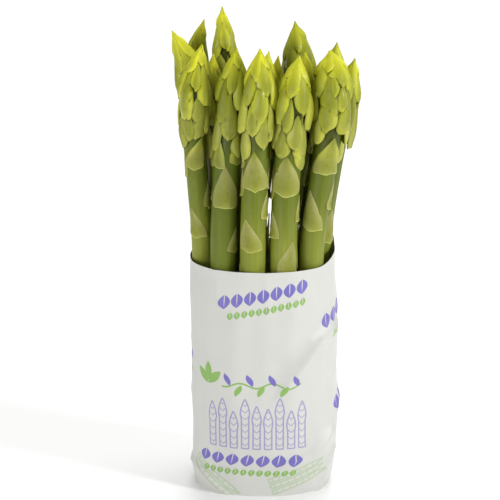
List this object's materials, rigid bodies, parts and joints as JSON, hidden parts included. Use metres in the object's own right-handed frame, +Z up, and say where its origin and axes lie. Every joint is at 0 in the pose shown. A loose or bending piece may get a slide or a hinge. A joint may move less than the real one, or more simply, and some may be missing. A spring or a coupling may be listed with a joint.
{
  "type": "bundle of asparagus",
  "caption": "Upright bunch of green asparagus spears with their lower halves in an open printed paper sleeve.",
  "frame": {"origin": "centre of the middle spear's cut end, on the surface the bunch stands on", "axes": "+Z up along the standing spears, -Y towards the printed front of the sleeve, +X to its right"},
  "size_m": [0.0887, 0.061, 0.232],
  "materials": {
    "asparagus": "satin",
    "sleeve_paper": "satin"
  },
  "bodies": {
    "root": {"spear_front_1": "asparagus", "spear_front_2": "asparagus", "spear_front_3": "asparagus", "spear_front_4": "asparagus", "spear_front_5": "asparagus", "spear_second_1": "asparagus", "spear_second_2": "asparagus", "spear_second_3": "asparagus", "spear_second_4": "asparagus", "spear_third_1": "asparagus", "spear_third_2": "asparagus", "spear_third_3": "asparagus", "spear_third_4": "asparagus", "spear_third_5": "asparagus", "spear_back_1": "asparagus", "spear_back_2": "asparagus", "spear_back_3": "asparagus", "sleeve": "sleeve_paper"}
  },
  "joints": []
}
